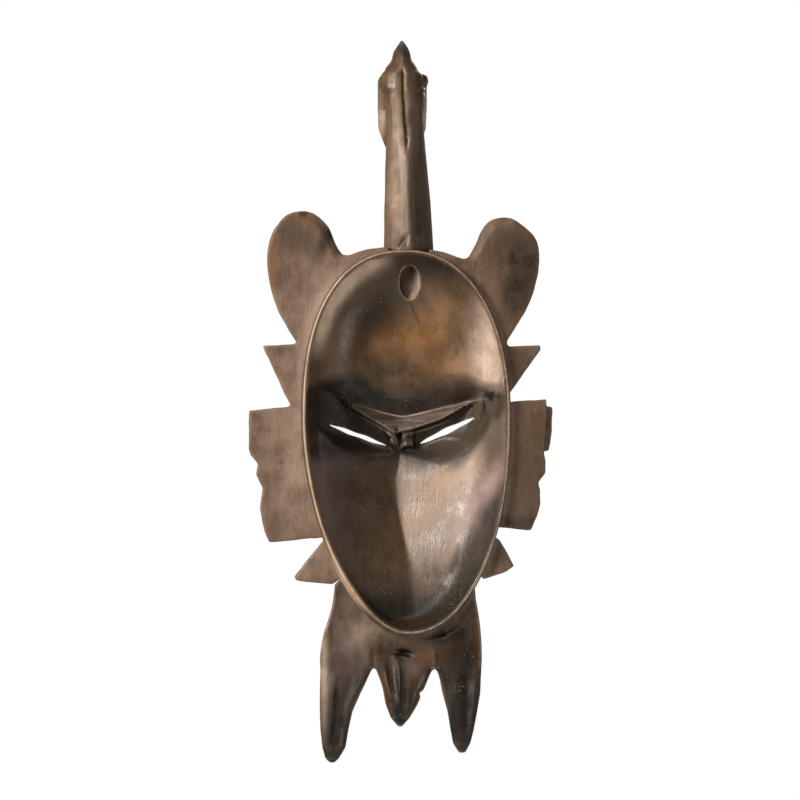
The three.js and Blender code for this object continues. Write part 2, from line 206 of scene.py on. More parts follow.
# The hollow back. Lines are lists of x, z and depths are measured from the rim's plane.
hollow = {
    "lip": 0.9,
    "leastWood": 8,
    "forehead": 23,
    "bowlPower": 2.4,
    "bowlReach": (34, 46),  # left and right
    "browLine": [
        (-47, -71), (-40, -62), (-31, -57.5), (-16, -62.5), (-1.5, -69),
        (12, -65), (26, -61), (36, -62.5), (44, -68.5),
    ],
    "upperArris": [(-44, -70), (-33, -74.5), (-18, -78.5), (-2, -82.3), (16, -78), (38.5, -72.8), (44, -70)],
    "lowerArris": [
        (-46, -70), (-34, -74), (-13, -86.2), (-6, -90.5),
        (4, -88.2), (18, -83.5), (30, -77), (43, -71),
    ],
    "slitLine": [(-44, -84.5), (-38.5, -86.5), (-10, -97), (-2, -98.5), (7, -96), (34.5, -83), (43, -79)],
    "lowerLine": [
        (-47, -82), (-41, -94), (-33, -101), (-20, -103), (-4, -101),
        (9.5, -106), (23, -108), (35, -101), (45, -78),
    ],
    "softness": {"browLine": 7, "upperArris": 2, "lowerArris": 1.5, "slitLine": 2, "lowerLine": 6},
    "arrisDepths": (30.4, 28.6),
    "pocketDepth": 33.2,
    "slitDepth": 34.6,
    "valleyLine": [(-100, -3), (-114, -5.5), (-126.5, -4.5), (-145, -1), (-162, 2.5), (-185, 5)],
    "valleyDepth": [(-96, 33.5), (-106, 32.5), (-126, 29), (-145, 24), (-162, 19.5), (-180, 15)],
    "leftSlope": 0.43,
    "rightSlope": 0.34,
    "noWall": 45,
    "wallSlopes": (3.4, 1.9, 0.95),  # on the left, on the right, and low on the right
    "creases": (1.8, 3.6),  # how round the foot of the wall is, left and right
    "lumpHeights": (4, 4.4),
    "ridgeHeight": 0.7,
    "chiselRidges": [
        [(-39, -71.5), (-25, -76.4), (-6.5, -81.5), (1.5, -82), (18.5, -78), (41, -72.8)],
        [(-25, -81), (-15, -86.5), (-6.5, -92.5)],
        [(-1, -91.5), (10, -88.7), (24, -83.6)],
        [(-23, -93.4), (-15, -96.5), (-7.5, -99)],
        [(9, -97), (20, -93.2), (27, -93.6)],
    ],
    "waves": 0.12,
}


def hollowLine(name, x):
    return softLine(x, hollow[name], hollow["softness"][name])


def chiselled(points):
    # thin ridges that the chisel left, 1 on their crests
    ridge = np.zeros(len(points))
    for path in hollow["chiselRidges"]:
        gap, part = awayFromPath(points, curved(path))
        fade = np.sin(pi * np.clip(part, 0.03, 0.97)) ** 0.5
        ridge = np.maximum(ridge, fade * np.exp(-(gap / 0.55) ** 2))
    return ridge


# The rim's land: its width by degrees round the oval from the +x side, and its fall at the outer edge.
land = {
    "widths": [
        (0, 1.7), (45, 1.8), (80, 1.3), (105, 1.5), (135, 2.3), (180, 2.3),
        (210, 3), (238, 4.5), (262, 3.2), (290, 2.2), (330, 1.5), (360, 1.7),
    ],
    "falls": (0.8, 1.9),
    "crest": 0.35,
    "waves": 0.25,
}


def landAt(x, z):
    across, up, away = polar(x, z)
    wide = halfHeight(up)
    degrees = np.degrees(np.arctan2(up / wide, across / oval["halfWidth"])) % 360
    return alongLine(degrees, land["widths"])


def landDrop(x, z):
    # how far the land has fallen at the oval's edge
    across, up, away = polar(x, z)
    return mix(*land["falls"], ease(0.1, -0.6, across) * ease(-0.95, -0.6, up))


def cheekDepth(x, z):
    valleyX = alongLine(z, hollow["valleyLine"])
    valleyY = alongLine(z, hollow["valleyDepth"])
    roundness = mix(0.4, 9, ease(145, 182, -z))
    left, right = np.maximum(valleyX - x, 0), np.maximum(x - valleyX, 0)
    strip = 5.5 * ease(132, 100, -z)
    leftRise = 0.1 * np.minimum(left, strip) + hollow["leftSlope"] * np.maximum(left - strip, 0)
    rightRise = hollow["rightSlope"] * right
    rise = np.sqrt((leftRise + rightRise) ** 2 + (0.38 * roundness) ** 2) - 0.38 * roundness
    return valleyY - rise


def hollowDepth(x, z):
    across, up, away = polar(x, z)
    gap = np.maximum(ovalReach(across, up, 0) - landAt(x, z) - away, 0)
    rightness = ease(-0.3, 0.5, across)
    lowness = ease(70, 130, -z)
    bowl = 1 - np.clip(gap / mix(*hollow["bowlReach"], rightness), 0, 1)
    forehead = hollow["forehead"] * (1 - bowl ** hollow["bowlPower"])
    cheek = cheekDepth(x, np.minimum(z, -97))
    brow = hollowLine("browLine", x)
    upper = hollowLine("upperArris", x)
    lower = hollowLine("lowerArris", x)
    slit = hollowLine("slitLine", x)
    below = hollowLine("lowerLine", x)
    # from the brow down: the slope, the facet between the two arrises, the pocket, the slit, the cheek
    levels = [brow + 2, upper, lower, lower - 1, slit, below]
    depths = [forehead, *hollow["arrisDepths"], hollow["pocketDepth"], hollow["slitDepth"], cheek]
    floor = np.array(forehead, float)
    for k in range(len(levels) - 1):
        t = np.clip((levels[k] - z) / np.maximum(levels[k] - levels[k + 1], 0.3), 0, 1)
        if k == 0:
            t = t * t * (1.6 - 0.6 * t)
        if k == 4:
            t = t * t * (3 - 2 * t)
        floor = floor + (depths[k + 1] - depths[k]) * t
    # two lumps of wood left between the eyes, with chisel facets
    points = np.column_stack([x, 0 * x, z])
    facets = 0.9 * lumps(points, (2.6, 9, 2.2), 8)
    lean = (x + 6.4) + 0.35 * (z + 93)
    one = np.exp(-(lean / 2.7) ** 4 - ((z + 93.5) / 5.6) ** 4)
    two = np.exp(-((x - 0.9) / 3.3) ** 6 - ((z + 92.8) / 5.2) ** 6)
    oneHeight, twoHeight = hollow["lumpHeights"]
    floor = floor - (oneHeight + facets) * one - (twoHeight + facets) * two
    floor = floor - hollow["ridgeHeight"] * chiselled(points)
    # the wall that climbs to the rim below the brow
    left, right, lowRight = hollow["wallSlopes"]
    straight = gap * mix(left, mix(right, lowRight, lowness), rightness)
    wall = mix(hollow["noWall"], straight, ease(48, 66, -z))
    depth = softMin(wall, floor, mix(*hollow["creases"], rightness))
    # the wood stays a few millimetres thick
    depth = softMin(depth, domeHeight(x, z) - hollow["leastWood"], 0.5)
    return hollow["lip"] + np.maximum(depth, 0) * (1 - np.exp(-gap / 0.4))


# The convex front.
dome = {
    "edge": 17,
    "rise": 29,
    "chinRise": 19,
    "borderWidth": 5,
    "borderTop": 21.5,
    "borderNotches": 96,
    "notchDepth": 1.1,
    "rearEdge": 14.2,
    "wood": 5.5,
}


def domeHeight(x, z):
    rise = mix(dome["rise"], dome["chinRise"], ease(100, 175, -z))
    return dome["edge"] + rise * np.maximum(1 - ovalLevel(x, z, dome["borderWidth"]) ** 3, 0) ** 0.6


slits = [
    {"ends": [(-38.5, -86.5), (-10, -97)], "bow": 1.05},
    {"ends": [(34.5, -83), (7, -96)], "bow": 1.4},
]


def addBall(name, segments, rings):
    bpy.ops.mesh.primitive_uv_sphere_add(segments=segments, ring_count=rings, radius=0.05)
    ball = bpy.context.active_object
    ball.name = name
    points = readPoints(ball) / 50
    turn = np.arctan2(points[:, 1], points[:, 0])
    lap = np.arccos(np.clip(points[:, 2], -1, 1)) / pi
    return ball, turn, lap


def ovalPoint(turn, inset, level):
    # turn is measured so that steps round the oval stay even
    up = np.sin(turn) * halfHeight(np.sin(turn))
    across = np.cos(turn) * oval["halfWidth"]
    size = np.hypot(across, up)
    across, up = across / size, up / size
    reach = ovalReach(across, up, inset) * level
    return across * reach, oval["waist"] + up * reach


def faceOutwards(piece):
    pickOnly(piece)
    bpy.ops.object.mode_set(mode="EDIT")
    bpy.ops.mesh.select_all(action="SELECT")
    bpy.ops.mesh.remove_doubles(threshold=0.000005)
    bpy.ops.mesh.normals_make_consistent(inside=False)
    bpy.ops.object.mode_set(mode="OBJECT")


def applyAll(piece):
    pickOnly(piece)
    for modifier in list(piece.modifiers):
        bpy.ops.object.modifier_apply(modifier=modifier.name)


def makeHollowShell():
    shell, turn, lap = addBall("hollow_shell", 384, 250)
    hollowEnd, landEnd, wallEnd = 0.66, 0.74, 0.82
    x0, z0 = ovalPoint(turn, 0, 1)
    wide = landAt(x0, z0)
    # across the hollow
    level = np.clip(lap / hollowEnd, 0, 1)
    level = level * (1 + 0.18 * (1 - level))
    across, up, away = polar(x0, z0)
    inner = away - wide
    x = across * inner * level
    z = oval["waist"] + up * inner * level
    y = hollowDepth(x, z)
    # over the land
    q = np.clip((lap - hollowEnd) / (landEnd - hollowEnd), 0, 1)
    reach = inner + wide * q
    onLand = lap > hollowEnd
    x = np.where(onLand, across * reach, x)
    z = np.where(onLand, oval["waist"] + up * reach, z)
    # the land peaks near its inner edge and falls away outwards
    peak = land["crest"]
    outerDrop = landDrop(x0, z0)
    rise = hollow["lip"] * np.maximum(1 - q / peak, 0) ** 2.5
    fall = outerDrop * (np.maximum(q - peak, 0) / (1 - peak)) ** 1.7
    y = np.where(onLand, np.where(q < peak, rise, fall), y)
    # down the outer wall and across the hidden front
    w = np.clip((lap - landEnd) / (wallEnd - landEnd), 0, 1)
    onWall = lap > landEnd
    y = np.where(onWall, mix(outerDrop, 19, w), y)
    f = np.clip((lap - wallEnd) / (1 - wallEnd), 0, 1)
    onFront = lap > wallEnd
    fx, fz = ovalPoint(turn, 3, 1 - f)
    x = np.where(onFront, fx, x)
    z = np.where(onFront, fz, z)
    y = np.where(onFront, np.maximum(domeHeight(x, z) - 3, 14), y)
    points = np.column_stack([x, y, z])
    # small waves that the adze left
    inHollow = ease(0.02, 0.1, lap) * ease(hollowEnd + 0.02, hollowEnd - 0.06, lap)
    points[:, 1] += hollow["waves"] * lumps(points, (9, 9, 14), 3) * inHollow
    onLand = (lap > hollowEnd) & (lap < landEnd)
    points[:, 1] += land["waves"] * np.abs(lumps(points, (14, 14, 22), 5)) * onLand
    writePoints(shell, points)
    faceOutwards(shell)
    return shell


slitCut = {"back": 8, "front": 62, "ripple": 0.2}


def makeSlitCutter(ends, bow):
    bpy.ops.mesh.primitive_cylinder_add(vertices=64, radius=0.01, depth=0.06)
    cutter = bpy.context.active_object
    points = readPoints(cutter)
    angle = np.arctan2(points[:, 1], points[:, 0])
    start, end = np.array(ends[0], float), np.array(ends[1], float)
    along = np.cos(angle)
    middle, half = (start + end) / 2, (end - start) / 2
    length = np.hypot(*half)
    side = np.array([-half[1], half[0]]) / length
    gape = np.sign(np.sin(angle)) * bow * (1 - along ** 2) ** 0.75
    gape += slitCut["ripple"] * np.sin(7 * angle + start[0]) * (1 - along ** 2)
    x = middle[0] + half[0] * along + side[0] * gape
    z = middle[1] + half[1] * along + side[1] * gape
    y = np.where(points[:, 2] > 0, slitCut["front"], slitCut["back"])
    writePoints(cutter, np.column_stack([x, y, z]))
    faceOutwards(cutter)
    return cutter


recess = {"x": 1.8, "z": -15.2, "wide": 5.1, "deep": 5.5, "tall": 8.5}


def makeGouge():
    bpy.ops.mesh.primitive_uv_sphere_add(segments=72, ring_count=48, radius=0.01)
    gouge = bpy.context.active_object
    points = readPoints(gouge) / 10
    x = recess["x"] + recess["wide"] * points[:, 0]
    z = recess["z"] + recess["tall"] * points[:, 2]
    # its mouth follows the bowl's slope
    y = hollowDepth(x, z) + recess["deep"] * points[:, 1]
    writePoints(gouge, np.column_stack([x, y, z]))
    faceOutwards(gouge)
    return gouge


def cutWith(piece, cutter):
    cut = piece.modifiers.new("cut", "BOOLEAN")
    cut.operation = "DIFFERENCE"
    cut.solver = "MANIFOLD"
    cut.object = cutter
    applyAll(piece)


hollowShell = makeHollowShell()
print("hollow shell", len(hollowShell.data.vertices))


# The carved features of the front, all as heights over the dome.
def ridgeOver(points, knots, halfWidth, height, ends=0.3):
    gap, part = awayFromPath(points, curved(knots))
    swell = ends + (1 - ends) * np.sin(pi * np.clip(part, 0.001, 0.999)) ** 0.7
    return height * swell * np.exp(-(gap / (halfWidth * swell)) ** 3)


frontFeatures = {
    "browHeight": 5,
    "browWidth": 2.7,
    "lidWidth": 1.9,
    "lidHeights": (4, 2.6),  # upper and lower
    "noseRows": [  # z, half width, height
        (-62, 1.6, 0), (-68, 2.4, 2.5), (-80, 2.9, 6.5), (-100, 3.6, 11),
        (-118, 5, 15), (-126, 6.8, 15.2), (-129.5, 5.6, 11), (-131, 4.5, 0),
    ],
    "lipHeight": 7,
    "lipWidth": 3.5,
    "barHeight": 2.2,
    "barWidth": 1.6,
    "lozengeHalfWidth": 6.8,
    "lozengeHeight": 3.2,
    "lozengeCut": 1.3,
    "waves": 0.3,
}


def frontRelief(x, z):
    points = np.column_stack([x, np.zeros(len(x)), z])
    lozengeLow, lozengeHigh = boxOf("forehead_lozenge")
    height = np.zeros(len(x))
    # shallow sockets under the brows
    for side in (-1, 1):
        height -= 2.2 * patch(points, side * 24, -79, 15, 8, side * -8)
        height -= 1.6 * patch(points, side * 23, -103, 13, 5, side * 10)
        height += 2.6 * patch(points, side * 30, -120, 15, 13)
        height -= 2 * patch(points, side * 22, -146, 7, 16, side * 14)
    # the mound behind the lips, and the chin
    height += 5 * np.exp(-((x / 14) ** 2 + ((z + 150.5) / 8) ** 2) ** 2)
    height += 2.5 * patch(points, 0, -173, 10, 7)
    carved = []
    for side in (-1, 1):
        brow = [(side * a, b) for a, b in [(6.5, -79), (15, -67), (27, -62), (41, -70)]]
        carved.append(ridgeOver(points, brow, frontFeatures["browWidth"], frontFeatures["browHeight"]))
    for slit in slits:
        (x1, z1), (x2, z2) = slit["ends"]
        middle = ((x1 + x2) / 2, (z1 + z2) / 2)
        for above, tall in zip((1, -1), frontFeatures["lidHeights"]):
            clear = 3.4 * above
            lid = [(x1, z1 + clear * 0.5), (middle[0], middle[1] + clear * 1.25), (x2, z2 + clear * 0.5)]
            carved.append(ridgeOver(points, lid, frontFeatures["lidWidth"], tall, 0.35))
    halfNose = alongLine(z, [(r[0], r[1]) for r in frontFeatures["noseRows"]])
    noseHeight = alongLine(z, [(r[0], r[2]) for r in frontFeatures["noseRows"]])
    carved.append(noseHeight * np.exp(-(np.abs(x) / halfNose) ** 1.9 * 1.1))
    for z0, bend in ((-147, 1.2), (-154, -1.2)):
        lip = [(-10, z0 - bend), (0, z0 + bend), (10, z0 - bend)]
        carved.append(ridgeOver(points, lip, frontFeatures["lipWidth"], frontFeatures["lipHeight"], 0.45))
    for side in (-1, 1):
        for k in range(3):
            low, high = boxOf(f"{'left' if side < 0 else 'right'}_cheek_bar_{k + 1}")
            middle = (low[2] + high[2]) / 2
            bar = [(side * 24, middle - 1.5), (side * 30, middle - 0.4), (side * 36, middle + 1.5)]
            carved.append(ridgeOver(points, bar, frontFeatures["barWidth"], frontFeatures["barHeight"], 0.6))
    middleZ = (lozengeLow[2] + lozengeHigh[2]) / 2
    tall = (lozengeHigh[2] - lozengeLow[2]) / 2
    diamond = np.abs(x) / frontFeatures["lozengeHalfWidth"] + np.abs(z - middleZ) / tall
    raised = frontFeatures["lozengeHeight"] * ease(1.06, 0.8, diamond)
    carved.append(raised - frontFeatures["lozengeCut"] * ease(0.2, 0.02, np.abs(diamond - 0.52)))
    total = np.zeros(len(x))
    for one in carved:
        total = np.maximum(total, one) + 0.25 * np.minimum(total, one)
    return height + total


def makeFaceFront():
    face, turn, lap = addBall("face_front", 384, 250)
    domeEnd, borderEnd, wallEnd = 0.72, 0.84, 0.88
    f = np.clip(lap / domeEnd, 0, 1)
    level = f * (1 + 0.12 * (1 - f))
    x, z = ovalPoint(turn, dome["borderWidth"], level)
    fade = ease(1, 0.93, level)
    y = domeHeight(x, z) + frontRelief(x, z) * fade
    b = np.clip((lap - domeEnd) / (borderEnd - domeEnd), 0, 1)
    onBorder = lap > domeEnd
    bx, bz = ovalPoint(turn, 0.3, 1)
    ix, iz = ovalPoint(turn, dome["borderWidth"], 1)
    x = np.where(onBorder, mix(ix, bx, b), x)
    z = np.where(onBorder, mix(iz, bz, b), z)
    # a rounded frame with slanting notches all round
    profile = np.clip(1.12 - np.abs(2 * b - 1) ** 4 * 1.12, 0, 1)
    notch = np.abs(((turn / (2 * pi) * dome["borderNotches"]) + 1.2 * b) % 1 - 0.5) * 2
    notch = dome["notchDepth"] * ease(0.35, 0, notch) * ease(0.15, 0.3, b) * ease(0.92, 0.75, b)
    y = np.where(onBorder, dome["edge"] + (dome["borderTop"] - dome["edge"]) * profile - notch, y)
    w = np.clip((lap - borderEnd) / (wallEnd - borderEnd), 0, 1)
    y = np.where(lap > borderEnd, mix(dome["edge"], dome["rearEdge"], w), y)
    r = np.clip((lap - wallEnd) / (1 - wallEnd), 0, 1)
    onBack = lap > wallEnd
    rx, rz = ovalPoint(turn, 0.3, 1 - r)
    x = np.where(onBack, rx, x)
    z = np.where(onBack, rz, z)
    y = np.where(onBack, mix(dome["rearEdge"], domeHeight(x, z) - dome["wood"], ease(0, 0.12, r)), y)
    points = np.column_stack([x, y, z])
    onDome = ease(0.01, 0.06, lap) * (lap < domeEnd)
    points[:, 1] += frontFeatures["waves"] * lumps(points, (8, 8, 12), 11) * onDome
    writePoints(face, points)
    faceOutwards(face)
    return face


faceFront = makeFaceFront()
for slit in slits:
    cutter = makeSlitCutter(slit["ends"], slit["bow"])
    for piece in (hollowShell, faceFront):
        cutWith(piece, cutter)
    bpy.data.objects.remove(cutter)
gouge = makeGouge()
cutWith(hollowShell, gouge)
bpy.data.objects.remove(gouge)
print("face front", len(faceFront.data.vertices), "shell", len(hollowShell.data.vertices))


# Pieces that start from the frame's own solids.
def joinedCopy(name, nodes):
    bpy.ops.object.select_all(action="DESELECT")
    for node in nodes:
        twin = bpy.data.objects.new(name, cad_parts[node].data.copy())
        bpy.context.collection.objects.link(twin)
        twin.select_set(True)
        bpy.context.view_layer.objects.active = twin
    if len(nodes) > 1:
        bpy.ops.object.join()
    piece = bpy.context.active_object
    piece.name = name
    piece.data.materials.clear()
    bpy.ops.object.mode_set(mode="EDIT")
    bpy.ops.mesh.select_all(action="SELECT")
    bpy.ops.mesh.remove_doubles(threshold=0.00001)
    bpy.ops.object.mode_set(mode="OBJECT")
    return piece


def rootInOval(piece, depth):
    # the edge that faces the oval is pushed under its wall
    points = readPoints(piece)
    across, up, away = polar(points[:, 0], points[:, 2])
    near = outsideOval(points[:, 0], points[:, 2]) < 1
    points[near, 0] -= across[near] * depth
    points[near, 2] -= up[near] * depth
    writePoints(piece, points)


def carveSmooth(piece, swell, voxel, rounds):
    grow = piece.modifiers.new("swell", "DISPLACE")
    grow.strength, grow.mid_level = swell / 1000, 0
    net = piece.modifiers.new("net", "REMESH")
    net.mode, net.voxel_size = "VOXEL", voxel / 1000
    calm = piece.modifiers.new("calm", "SMOOTH")
    calm.factor, calm.iterations = 0.5, rounds
    applyAll(piece)


flanges = {"rootDepth": 2.6, "swell": 0.3, "voxel": 0.7, "smoothing": 5, "bevel": 2.8, "bevelReach": 3.6}
leftFillet = {"rise": 2.6, "reach": 3.2, "bevel": [(-50, 19.5), (-44, 17), (-38, 9.5), (-33, -0.5)]}
rightFillet = {"rise": 1.8, "reach": 1.8, "bevel": [(50, 17), (43, 15.5), (37.5, 9), (32, -1.5)]}


def makeFlanges(name, nodes, fillet, seed):
    piece = joinedCopy(name, nodes)
    rootInOval(piece, flanges["rootDepth"])
    carveSmooth(piece, flanges["swell"], flanges["voxel"], flanges["smoothing"])
    points = readPoints(piece)
    away = outsideOval(points[:, 0], points[:, 2])
    onBack = ease(10, 5, points[:, 1])
    # the back rises to the rim in a hollow curve, and waves a little
    points[:, 1] -= onBack * fillet["rise"] * np.exp(-np.maximum(away, 0) / fillet["reach"])
    gap, _ = awayFromPath(points, curved(fillet["bevel"]))
    points[:, 1] += onBack * flanges["bevel"] * np.maximum(1 - gap / flanges["bevelReach"], 0)
    flat = points * [1, 0, 1]
    points[:, 1] += 0.35 * lumps(flat, (16, 16, 22), seed) + 0.12 * lumps(flat, (4, 4, 9), seed + 1)
    points[:, 0] += 0.25 * lumps(points, (5, 5, 5), seed + 2)
    points[:, 2] += 0.25 * lumps(points, (5, 5, 5), seed + 3)
    # the lobe's foot reaches under the neck
    foot = ease(19, 15, np.abs(points[:, 0])) * ease(-6, -2, points[:, 2])
    points[:, 0] -= flanges["rootDepth"] * np.sign(points[:, 0]) * foot
    writePoints(piece, points)
    return piece


leftNodes = ["left_lobe", "left_upper_spike", "left_side_panel", "left_lower_spike"]
rightNodes = [node.replace("left", "right") for node in leftNodes] + ["right_panel_step"]
leftFlange = makeFlanges("left_flange", leftNodes, leftFillet, 21)
rightFlange = makeFlanges("right_flange", rightNodes, rightFillet, 31)
print("flanges", len(leftFlange.data.vertices), len(rightFlange.data.vertices))


def groove(points, path, depth, halfWidth):
    # a shallow gouge cut on the back, fading at both ends
    gap, part = awayFromPath(points, curved(path))
    fade = np.sin(pi * np.clip(part, 0.02, 0.98)) ** 0.5
    return depth * fade * np.exp(-(gap / halfWidth) ** 2)


def smoothNear(piece, middle, reach, rounds):
    # evens out a band of heights where two solids met
    points = readPoints(piece)
    piece.vertex_groups.clear()
    band = piece.vertex_groups.new(name="band")
    for i in np.nonzero(np.abs(points[:, 2] - middle) < reach)[0]:
        band.add([int(i)], float(1 - abs(points[i, 2] - middle) / reach), "REPLACE")
    even = piece.modifiers.new("even", "SMOOTH")
    even.factor, even.iterations, even.vertex_group = 0.5, rounds, "band"
    applyAll(piece)


legShapes = {
    "nodes": ["leg_yoke", "left_leg", "right_leg", "tail_tab"],
    "rootDepth": 3,
    "swell": 0.3,
    "voxel": 0.7,
    "leftMiddle": [(-255, -37), (-230, -36), (-207, -33), (-190, -30)],
    "rightMiddle": [(-250, 28), (-230, 28.5), (-207, 27), (-190, 27)],
    "rollOff": 0.055,
    # each groove: its path, depth (negative is a ridge) and half width
    "grooves": [
        ([(-33.5, -212), (-35.5, -232), (-37.5, -250)], 0.9, 1.6),
        ([(-9.5, -203), (-8.5, -212), (-6.5, -222)], 1.6, 1.3),  # narrow channel down the tail
        ([(-3, -202), (-2.2, -214), (-2.6, -228), (-3, -236)], 2.3, 2.2),  # wide channel
        ([(-6.6, -201), (-5.6, -214), (-4.8, -226)], -0.9, 0.8),  # thin ridge between them
        ([(-6.5, -200), (-1, -200.5), (4, -201.5)], 3, 1.7),  # hole above the tail
        ([(8, -193.6), (14, -192), (20, -190.5), (27, -187)], 1.3, 1.1),  # gash under the rim
    ],
    "waves": 0.3,
    "notch": {"x": 8, "z": -221, "depth": 1.3},
}


def makeLegs():
    piece = joinedCopy("legs", legShapes["nodes"])
    rootInOval(piece, legShapes["rootDepth"])
    carveSmooth(piece, legShapes["swell"], legShapes["voxel"], 4)
    smoothNear(piece, boxOf("leg_yoke")[0][2], 11, 60)
    points = readPoints(piece)
    x, y, z = points.T
    back = ease(12, 7, y)
    away = outsideOval(x, z)
    cut = -2 * np.exp(-np.maximum(away, 0) / 2.5)
    # each leg is a rounded blade: its outer side rolls away, a low ridge runs to the tip
    low = ease(-188, -214, z)
    for middle, onLeg in (("leftMiddle", x < -16), ("rightMiddle", x > 15)):
        fromMiddle = np.minimum(np.abs(x - alongLine(z, legShapes[middle])), 9)
        cut += low * legShapes["rollOff"] * fromMiddle ** 1.6 * onLeg
    for path, depth, halfWidth in legShapes["grooves"]:
        cut += groove(points, path, depth, halfWidth)
    cut += 1.1 * patch(points, 20, -190, 6, 2.4, 20) * (0.6 + lumps(points, (3, 3, 2), 45))
    points[:, 1] = y + back * cut
    points[:, 1] += legShapes["waves"] * lumps(points, (7, 7, 16), 41)
    # a small notch in the tail's edge
    nick = legShapes["notch"]
    points[:, 0] -= nick["depth"] * np.exp(-((x - nick["x"]) / 2) ** 2 - ((z - nick["z"]) / 1.2) ** 2)
    writePoints(piece, points)
    return piece


crestShapes = {
    "nodes": ["crest_neck", "crest_head", "crest_casque"],
    "rootDepth": 3,
    "swell": 0.3,
    "voxel": 0.6,
    "grooveX": [(12, 2), (53, 0.4), (66, -0.8), (91, -1.8), (104, -2)],
    "split": (1.1, 0.5),  # depth and half width
    "splitSides": (0.9, 1.8),
    "neckFacets": 0.42,
    "neckRidge": 1.6,
    "hoodRidge": 1.3,
    "footCut": ([(-3.5, 1), (-1.5, 5), (1.5, 8.5)], 1.4, 1.3),
    "footRidge": ([(0.5, 1), (1.2, 5), (1.6, 8)], 1, 1),
    "headSwells": (2.2, 1.6),  # right and left
}


def makeCrest():
    piece = joinedCopy("crest", crestShapes["nodes"])
    points = readPoints(piece)
    root = points[:, 2] < 6
    points[root, 2] -= crestShapes["rootDepth"]
    writePoints(piece, points)
    carveSmooth(piece, crestShapes["swell"], crestShapes["voxel"], 4)
    smoothNear(piece, boxOf("crest_head")[0][2] + 3, 7, 40)
    smoothNear(piece, boxOf("crest_casque")[0][2], 4, 12)
    points = readPoints(piece)
    x, y, z = points.T
    back = ease(17, 9, y)
    # a split runs down the head, and below it the neck has two facets
    upper = ease(46, 58, z)
    fromGroove = np.abs(x - alongLine(z, crestShapes["grooveX"]))
    split = 0
    for depth, halfWidth in (crestShapes["split"], crestShapes["splitSides"]):
        split = split + depth * np.exp(-(fromGroove / halfWidth) ** 2)
    y = y + back * upper * ease(95, 89, z) * split
    y = y + back * (1 - upper) * (crestShapes["neckFacets"] * fromGroove - crestShapes["neckRidge"])
    # the hood runs up from a crossing ridge, and a chisel cut lies at the foot
    hood = back * crestShapes["hoodRidge"] * np.exp(-(fromGroove / 2.6) ** 2)
    y = y - hood * ease(89, 94, z) * ease(104, 98, z)
    points = np.column_stack([x, y, z])
    points[:, 1] += back * groove(points, *crestShapes["footCut"])
    points[:, 1] -= back * groove(points, *crestShapes["footRidge"])
    # the head swells out to carry both eyes
    rightSwell, leftSwell = crestShapes["headSwells"]
    points[:, 0] += rightSwell * ease(80, 83, z) * ease(92, 88, z) * ease(2, 6, x)
    points[:, 0] -= leftSwell * ease(79, 83, z) * ease(92, 88, z) * ease(-7, -10, x)
    points[:, 1] += 0.2 * lumps(points, (6, 6, 18), 51)
    points[:, 0] += 0.2 * lumps(points, (6, 6, 10), 52)
    writePoints(piece, points)
    return piece


# Eyes and beak: the node, how far it is swelled, and the remesh size.
headParts = {
    "left_eye": ("left_eye_boss", 0.1, 0.35),
    "right_eye": ("right_eye_boss", 0.1, 0.35),
    "long_beak": ("beak", 0.2, 0.7),
}
beakRoot = {"above": 74, "letIn": 3, "reach": 5}


def makeHeadPart(name):
    node, swell, voxel = headParts[name]
    piece = joinedCopy(name, [node])
    carveSmooth(piece, swell, voxel, 4)
    return piece


def letBeakIn(piece):
    # its root goes into the head
    points = readPoints(piece)
    rootY = points[points[:, 2] > beakRoot["above"], 1].min()
    near = ease(rootY + beakRoot["reach"], rootY, points[:, 1]) * ease(66, 72, points[:, 2])
    points[:, 1] -= beakRoot["letIn"] * near
    writePoints(piece, points)


legs = makeLegs()
crest = makeCrest()
leftEye, rightEye, longBeak = [makeHeadPart(name) for name in headParts]
letBeakIn(longBeak)
print("legs, crest, eyes and beak made")


# Masks that the materials read: how far an edge stands out, and patches by place.
def curvature(piece):
    mesh = piece.data
    edges = np.empty(len(mesh.edges) * 2, np.int32)
    mesh.edges.foreach_get("vertices", edges)
    a, b = edges.reshape(-1, 2).T
    points, normals = readPoints(piece), readNormals(piece)
    count = np.bincount(a, minlength=len(points)) + np.bincount(b, minlength=len(points))
    step = points[b] - points[a]
    length = np.maximum((step ** 2).sum(axis=1), 1e-4)
    bend = np.bincount(a, -(step * normals[a]).sum(axis=1) / length, len(points))
    bend += np.bincount(b, (step * normals[b]).sum(axis=1) / length, len(points))
    bend = 2 * bend / np.maximum(count, 1)
    for _ in range(3):
        around = np.bincount(a, bend[b], len(points)) + np.bincount(b, bend[a], len(points))
        bend = (bend + around / np.maximum(count, 1)) / 2
    return bend


def paint(piece, name, values):
    layer = piece.data.attributes.new(name, "FLOAT", "POINT")
    layer.data.foreach_set("value", np.clip(values, 0, 1).astype(np.float32))


def paintEdges(piece):
    bend = curvature(piece)
    paint(piece, "rubbed", ease(0.08, 0.5, bend))
    paint(piece, "sunken", ease(0.05, 0.4, -bend))


def noiseNear(points, seed):
    return 0.6 * lumps(points, (7, 7, 16), seed) + 0.4 * lumps(points, (2.5, 2.5, 7), seed + 1)


